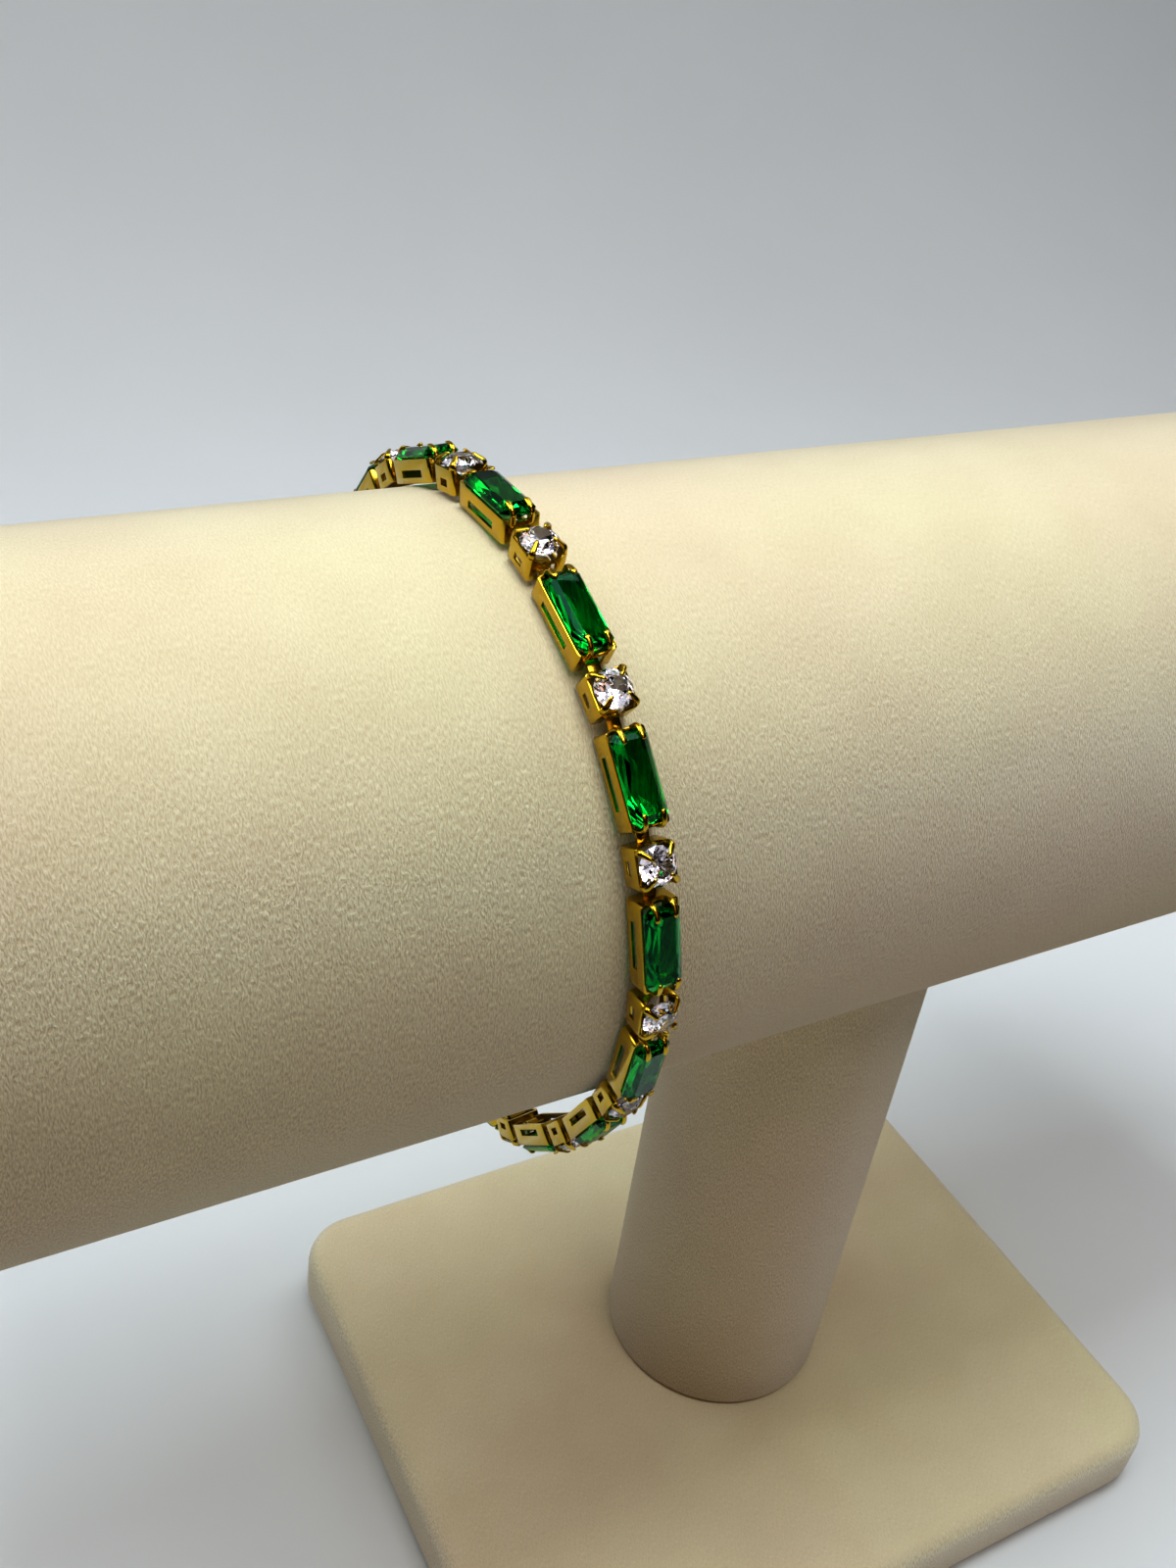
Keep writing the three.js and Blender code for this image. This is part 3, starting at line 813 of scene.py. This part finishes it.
def clasp_box(materials, edge):
    """The closed box of the clasp, with a crowned lid and a fine groove where its two halves meet."""
    bm = box_walls(GREEN_LENGTH, ROUND_WINDOW, 0, edge)
    lid = bmesh.new()
    block(lid, (GREEN_LENGTH, LINK_WIDTH, 2 * WALL), (0, 0, WALL_HEIGHT))
    bevel(lid, upright_edges(lid), CORNER_CUT, 3)
    top = [e for e in sharp_edges(lid) if min(v.co.z for v in e.verts) > WALL_HEIGHT]
    bevel(lid, top, WALL, 4)
    for place in (-GROOVE_HALF, GROOVE_HALF, 0):
        cut_across(lid, 0, GROOVE_PLACE + place)
    for vert in lid.verts:
        if abs(vert.co.x - GROOVE_PLACE) < GROOVE_HALF / 4:
            vert.co.y *= GROOVE_NARROWING
            vert.co.z -= GROOVE_DEPTH if vert.co.z > WALL_HEIGHT else 0
    join(bm, lid)
    add_hinge(bm, GREEN_LENGTH, edge)
    return finished_mesh("clasp_box", bm, materials)


# The stones

def cut_rectangle(bm, inset, height, corner):
    """Eight corners of the long stone's outline, drawn in by inset."""
    x, y = GREEN_STONE_LENGTH / 2 - inset, GREEN_STONE_WIDTH / 2 - inset
    for right in (-1, 1):
        for far in (-1, 1):
            bm.verts.new((right * x, far * (y - corner), height))
            bm.verts.new((right * (x - corner), far * y, height))


def hull_stone(bm):
    """Closes the points of bm into one convex stone with flat facets."""
    bmesh.ops.convex_hull(bm, input=bm.verts[:])
    bmesh.ops.dissolve_limit(bm, angle_limit=math.radians(0.4), verts=bm.verts, edges=bm.edges)
    return bm


def long_stone(material):
    """The long stone: a table and two steps above its edge, and slanting facets down to a slanting keel."""
    bm = bmesh.new()
    for inset, rise in GREEN_CROWN:
        cut_rectangle(bm, inset, GIRDLE_TOP + rise, GREEN_CORNER * (1 - GREEN_CORNER_SHRINK * inset))
    cut_rectangle(bm, 0, GIRDLE_LOW, GREEN_CORNER)
    spacing = (GREEN_STONE_LENGTH - 2 * GREEN_KNEE) / GREEN_KNEES
    knee_height = GIRDLE_LOW - GREEN_BELOW
    for knee in range(GREEN_KNEES):
        along = spacing * (knee - (GREEN_KNEES - 1) / 2)
        for side in (-1, 1):
            shift = side * spacing / 4
            bm.verts.new((along + shift, side * (GREEN_STONE_WIDTH / 2 - GREEN_KNEE), knee_height))
    for end in (-1, 1):
        bm.verts.new((end * (GREEN_STONE_LENGTH / 2 - GREEN_KNEE), 0, knee_height))
        bm.verts.new((end * GREEN_KEEL / 2, -end * GREEN_KEEL_SLANT, GIRDLE_LOW - GREEN_DEPTH))
    hull_stone(bm)
    lay_pile(bm, lambda co, face, normal: (co.x * MM, co.y * MM))
    return finished_mesh("long_stone", bm, [material], smooth=False)


def brilliant():
    """The round brilliant: table, stars, kites and halves above its edge, mains and halves below."""
    bm = bmesh.new()
    step = math.pi / 8

    def ring(count, radius, height, turn):
        for place in range(count):
            angle = turn + place * 2 * math.pi / count
            bm.verts.new((radius * math.cos(angle), radius * math.sin(angle), height))

    crown_slope = ROUND_CROWN / (ROUND_RADIUS - ROUND_TABLE)
    ring(8, ROUND_TABLE, GIRDLE_TOP + ROUND_CROWN, 0)
    ring(8, ROUND_STAR, GIRDLE_TOP + crown_slope * (ROUND_RADIUS - ROUND_STAR * math.cos(step)), step)
    ring(16, ROUND_RADIUS, GIRDLE_TOP, 0)
    ring(16, ROUND_RADIUS, GIRDLE_LOW, 0)
    below_slope = ROUND_DEPTH / ROUND_RADIUS
    ring(8, ROUND_HALF, GIRDLE_LOW - below_slope * (ROUND_RADIUS - ROUND_HALF * math.cos(step)), step)
    bm.verts.new((0, 0, GIRDLE_LOW - ROUND_DEPTH))
    return hull_stone(bm)


# The loop

def loop_point(s, leave):
    """A point of the pins' line, and the line's whole length. It follows the arm, and then hangs free."""
    on_arm = LOOP_RADIUS * (math.pi + 2 * leave)
    droop = LOOP_RADIUS * math.cos(leave) / math.asinh(1 / math.tan(leave))
    hanging = 2 * droop / math.tan(leave)
    whole = on_arm + hanging
    along = s % whole
    if along < on_arm:
        angle = along / LOOP_RADIUS - leave
        return LOOP_RADIUS * math.cos(angle), LOOP_RADIUS * math.sin(angle), whole
    from_lowest = along - on_arm - hanging / 2
    lowest = -LOOP_RADIUS * math.sin(leave) - droop * (1 / math.sin(leave) - 1)
    return (
        droop * math.asinh(from_lowest / droop),
        lowest + math.hypot(droop, from_lowest) - droop,
        whole,
    )


def bisect(f, low, high):
    """The middle of the range that f turns negative in."""
    for _ in range(HALVINGS):
        middle = (low + high) / 2
        if f(middle) > 0:
            low = middle
        else:
            high = middle
    return (low + high) / 2


def walk(leave):
    """Steps round the loop from pin to pin, and gives each pin's distance along it."""
    pins = [LOOP_RADIUS * (FIRST_PIN_ANGLE + leave)]
    for link in range(2 * REPEATS):
        start = pins[link]
        front, up, _ = loop_point(start, leave)
        pitch = ROUND_PITCH if link % 2 else GREEN_PITCH

        def short(s):
            to_front, to_up, _ = loop_point(s, leave)
            return pitch - math.hypot(to_front - front, to_up - up)

        pins.append(bisect(short, start + pitch, start + pitch * LONGEST_STEP))
    return pins


def in_space(front, up):
    """A point of the loop's plane in space, in millimetres."""
    return Vector((LOOP_PLACE + LOOP_TURN * front + LOOP_LEAN * up, POST_BACK - front, ARM_HEIGHT + up))


def link_places():
    """The place of every link, long and round by turns, as a matrix from millimetres to metres."""

    def spare(leave):
        pins = walk(leave)
        return loop_point(0, leave)[2] - (pins[-1] - pins[0])

    leave = bisect(spare, *LEAVE_RANGE)
    pins = [in_space(*loop_point(s, leave)[:2]) for s in walk(leave)]
    across = (in_space(1, 0) - in_space(0, 0)).cross(in_space(0, 1) - in_space(0, 0)).normalized()
    places = []
    for link, (pin, following) in enumerate(zip(pins, pins[1:])):
        along = (following - pin).normalized()
        out = along.cross(across).normalized()
        length = ROUND_LENGTH if link % 2 else GREEN_LENGTH
        centre = pin + along * (length / 2 - PIN_INSET) - out * PIN_HEIGHT
        turned = Matrix((along, across, out)).transposed().to_4x4()
        places.append(Matrix.Scale(MM, 4) @ Matrix.Translation(centre) @ turned)
    return places


def numbered_places(kind):
    """Pairs of number and place for the long links, the round links or the clasp."""
    places = link_places()
    chosen = places[1::2] if kind == "round" else places[::2]
    for index, place in enumerate(chosen):
        is_clasp = kind != "round" and index == CLASP_PLACE
        if (kind == "clasp") == is_clasp:
            yield f"{index + 1:02d}", place


# Operators

class BRACELET_OT_stand(bpy.types.Operator):
    """Builds the velvet base, post and arm"""

    bl_idname = "bracelet.stand"
    bl_label = "Velvet stand"

    def execute(self, context):
        looks = context.scene.bracelet_stand
        velvet = velvet_material(looks)
        put("velvet_base", base_mesh(velvet), "velvet", "stand_base")
        put("velvet_post", post_mesh(velvet, looks.sides), "velvet", "stand_post")
        put("velvet_arm", arm_mesh(velvet, looks.sides), "velvet", "stand_arm")
        return {"FINISHED"}


class BRACELET_OT_long_boxes(bpy.types.Operator):
    """Builds the gold boxes of the green stones"""

    bl_idname = "bracelet.long_boxes"
    bl_label = "Long gold boxes"

    def execute(self, context):
        template = long_box(shared_golds(context), context.scene.bracelet_gold.edge)
        for number, place in numbered_places("long"):
            put_copy(f"long_box_{number}", template, place, "gold", f"green_setting_{number}")
        bpy.data.meshes.remove(template)
        return {"FINISHED"}


class BRACELET_OT_long_stones(bpy.types.Operator):
    """Builds the green stones"""

    bl_idname = "bracelet.long_stones"
    bl_label = "Green stones"

    def execute(self, context):
        template = long_stone(green_material(context.scene.bracelet_stones))
        for number, place in numbered_places("long"):
            put_copy(f"long_stone_{number}", template, place, "green_stone", f"green_stone_{number}")
        bpy.data.meshes.remove(template)
        return {"FINISHED"}


class BRACELET_OT_round_links(bpy.types.Operator):
    """Builds the round stones in their gold cups"""

    bl_idname = "bracelet.round_links"
    bl_label = "Round links"

    def execute(self, context):
        clear = clear_material(context.scene.bracelet_stones)
        template = round_cup(*shared_golds(context), clear, context.scene.bracelet_gold.edge)
        for number, place in numbered_places("round"):
            put_copy(f"round_cup_{number}", template, place, "gold", f"round_link_{number}")
        bpy.data.meshes.remove(template)
        return {"FINISHED"}


class BRACELET_OT_clasp(bpy.types.Operator):
    """Builds the closed box of the clasp"""

    bl_idname = "bracelet.clasp"
    bl_label = "Clasp"

    def execute(self, context):
        template = clasp_box(shared_golds(context), context.scene.bracelet_gold.edge)
        for _, place in numbered_places("clasp"):
            put_copy("box_clasp", template, place, "gold", "clasp")
        bpy.data.meshes.remove(template)
        return {"FINISHED"}


class BRACELET_OT_stage(bpy.types.Operator):
    """Sets up the floor, the soft lights and the camera"""

    bl_idname = "bracelet.stage"
    bl_label = "Stage"

    def execute(self, context):
        scene = context.scene
        add_floor(scene)
        for light in LIGHTS:
            add_light(scene, *light)
        add_world(scene)
        add_camera(scene)
        scene.view_settings.view_transform = "Standard"
        scene.view_settings.gamma = VIEW_GAMMA
        return {"FINISHED"}


def shared_golds(context):
    """The gold of all the settings, outside and inside, made once; the inside gold is rougher, and darker as
    painted shade.
    """
    looks = context.scene.bracelet_gold
    finishes = (("polished gold", looks.colour, looks.polish), ("dull gold with painted shade", looks.inside, looks.dullness))
    return [bpy.data.materials.get(finish[0]) or gold_material(*finish) for finish in finishes]


def draw_out(bm, edges, way):
    """Extrudes edges by a vector, and gives the new edges."""
    made = bmesh.ops.extrude_edge_only(bm, edges=edges)["geom"]
    bmesh.ops.translate(bm, vec=way, verts=[g for g in made if isinstance(g, bmesh.types.BMVert)])
    return [g for g in made if isinstance(g, bmesh.types.BMEdge)]


def add_floor(scene):
    """A pale sheet that runs back from the stand and curves up behind it."""
    bm = bmesh.new()
    bend_start = FLOOR_BACK - FLOOR_BEND
    start = bm.edges.new([bm.verts.new((x, FLOOR_FRONT, 0)) for x in (-FLOOR_HALF, FLOOR_HALF)])
    last = draw_out(bm, [start], (0, bend_start - FLOOR_FRONT, 0))
    turned = bmesh.ops.spin(
        bm, geom=last, cent=(0, bend_start, FLOOR_BEND), axis=(1, 0, 0), angle=math.pi / 2, steps=16,
    )["geom_last"]
    last = [g for g in turned if isinstance(g, bmesh.types.BMEdge)]
    draw_out(bm, last, (0, 0, FLOOR_TOP - FLOOR_BEND))
    mesh = finished_mesh("sheet", bm, [floor_material()])
    sheet = bpy.data.objects.new("sheet", mesh)
    scene.collection.objects.link(sheet)


def add_light(scene, name, place, target, size, power, colour, spread):
    """A square soft light, whose beam is spread degrees wide."""
    data = bpy.data.lights.new(name, "AREA")
    data.size = size
    data.energy = power
    data.color = colour
    data.spread = math.radians(spread)
    light = bpy.data.objects.new(name, data)
    light.location = place
    light.rotation_euler = (Vector(target) - Vector(place)).to_track_quat("-Z", "Y").to_euler()
    scene.collection.objects.link(light)


def add_world(scene):
    """A dim room, brighter from above. It lights the stones from within, and looks pale to the camera."""
    world = bpy.data.worlds.new("soft room")
    world.use_nodes = True
    nodes = Nodes(world.node_tree)
    background = world.node_tree.nodes["Background"]
    place = nodes.add("ShaderNodeTexCoord").outputs["Generated"]
    up = nodes.add("ShaderNodeSeparateXYZ", {"Vector": place}).outputs["Z"]
    sky = mixed(nodes, spread_out(nodes, up, 0.1, 0.95), ROOM_LOW, ROOM_HIGH)
    path = nodes.add("ShaderNodeLightPath").outputs
    seen = path["Is Camera Ray"]
    through = nodes.add(
        "ShaderNodeMapRange",
        {"Value": path["Is Transmission Ray"], "To Min": ROOM_STRENGTH, "To Max": ROOM_THROUGH_STONES},
    ).outputs["Result"]
    strength = nodes.add("ShaderNodeMath", {0: seen, 1: through}, operation="MAXIMUM")
    nodes.feed(background.inputs["Color"], mixed(nodes, seen, sky, ROOM_SEEN))
    nodes.feed(background.inputs["Strength"], strength.outputs[0])
    scene.world = world


def add_camera(scene):
    """The camera at the photograph's place and angle."""
    data = bpy.data.cameras.new("camera")
    data.lens = CAMERA_LENS
    data.clip_start = 0.01
    camera = bpy.data.objects.new("camera", data)
    forward = Vector((
        math.sin(CAMERA_YAW) * math.cos(CAMERA_PITCH),
        math.cos(CAMERA_YAW) * math.cos(CAMERA_PITCH),
        -math.sin(CAMERA_PITCH),
    ))
    right = forward.cross(Vector((0, 0, 1))).normalized()
    turned = Matrix((right, right.cross(forward), -forward)).transposed()
    roll = Matrix.Rotation(CAMERA_ROLL, 3, "Z")
    camera.matrix_world = Matrix.Translation(CAMERA_PLACE) @ (turned @ roll).to_4x4()
    scene.collection.objects.link(camera)
    scene.camera = camera


class BRACELET_PT_panel(bpy.types.Panel):
    """Lists the pieces and their looks"""

    bl_label = "Bracelet on a stand"
    bl_idname = "BRACELET_PT_panel"
    bl_space_type = "VIEW_3D"
    bl_region_type = "UI"
    bl_category = "Bracelet"

    def draw(self, context):
        for group in ("bracelet_stand", "bracelet_gold", "bracelet_stones"):
            looks = getattr(context.scene, group)
            box = self.layout.box()
            for name in looks.__annotations__:
                box.prop(looks, name)
        for operator in OPERATORS:
            self.layout.operator(operator.bl_idname)


LOOKS = {"bracelet_stand": StandLooks, "bracelet_gold": GoldLooks, "bracelet_stones": StoneLooks}
OPERATORS = (
    BRACELET_OT_stand, BRACELET_OT_long_boxes, BRACELET_OT_long_stones,
    BRACELET_OT_round_links, BRACELET_OT_clasp, BRACELET_OT_stage,
)


def register():
    for cls in (*LOOKS.values(), *OPERATORS, BRACELET_PT_panel):
        bpy.utils.register_class(cls)
    for name, cls in LOOKS.items():
        setattr(bpy.types.Scene, name, PointerProperty(type=cls))


def unregister():
    for name in LOOKS:
        delattr(bpy.types.Scene, name)
    for cls in reversed((*LOOKS.values(), *OPERATORS, BRACELET_PT_panel)):
        bpy.utils.unregister_class(cls)


def main():
    register()
    bpy.ops.bracelet.stand()
    bpy.ops.bracelet.long_boxes()
    bpy.ops.bracelet.long_stones()
    bpy.ops.bracelet.round_links()
    bpy.ops.bracelet.clasp()
    bpy.ops.bracelet.stage()


if __name__ == "__main__":
    main()
